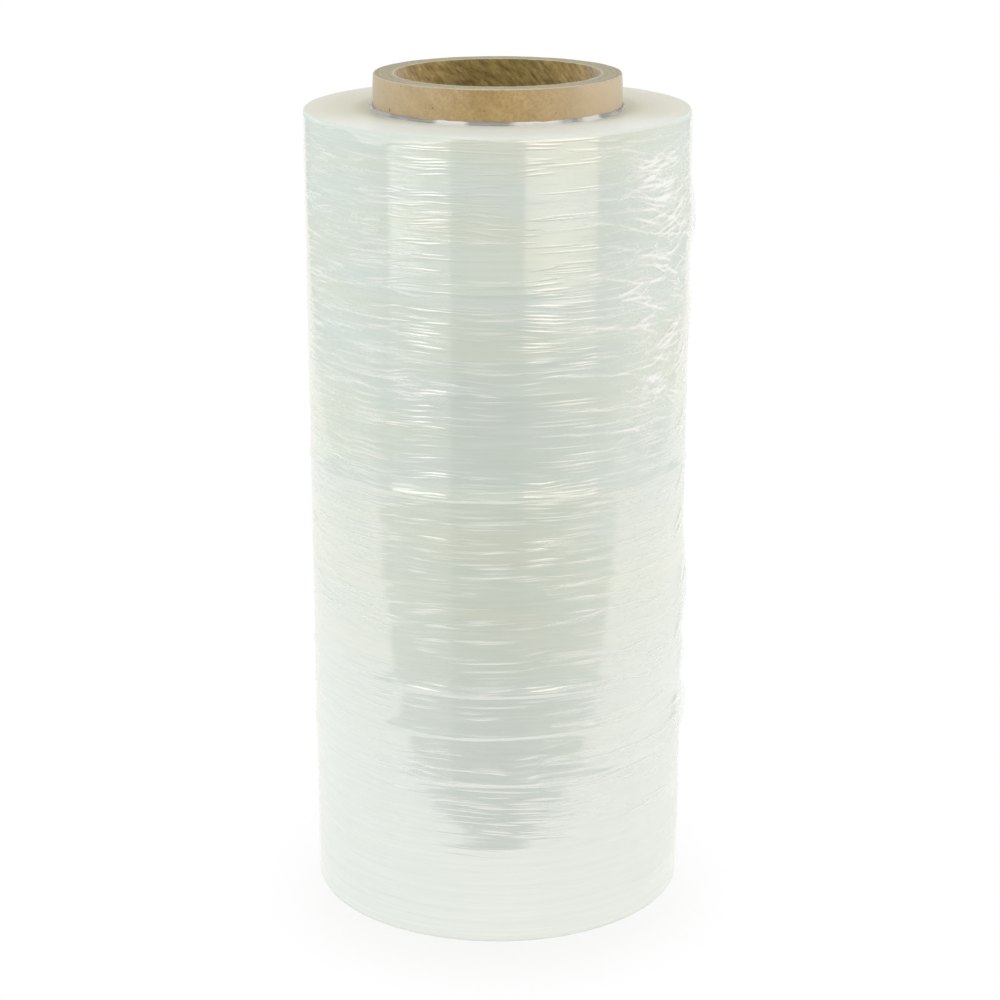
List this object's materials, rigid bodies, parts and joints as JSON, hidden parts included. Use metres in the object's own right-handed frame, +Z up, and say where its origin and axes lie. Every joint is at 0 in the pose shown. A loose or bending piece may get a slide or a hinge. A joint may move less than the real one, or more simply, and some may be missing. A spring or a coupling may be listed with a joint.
{
  "type": "stretch wrap roll",
  "caption": "Clear stretch wrap film wound on a spiral paper core that stands out at both ends; the last turns are loose, necked in and creased.",
  "frame": {"origin": "centre of the core's lower end, on the surface the roll stands on", "axes": "+Z up along the roll's axis, -Y towards the front of the pictured roll, +X to its right, where the last turns are slackest"},
  "size_m": [0.1462, 0.145, 0.3302],
  "materials": {
    "cardboard": "bare tan kraft, fine fibre specks, cut plies at the ends",
    "film": "clear glossy film, milky white in the roll, with fine level wrinkles"
  },
  "bodies": {
    "root": {"core": "cardboard", "film_roll": "film"}
  },
  "joints": []
}
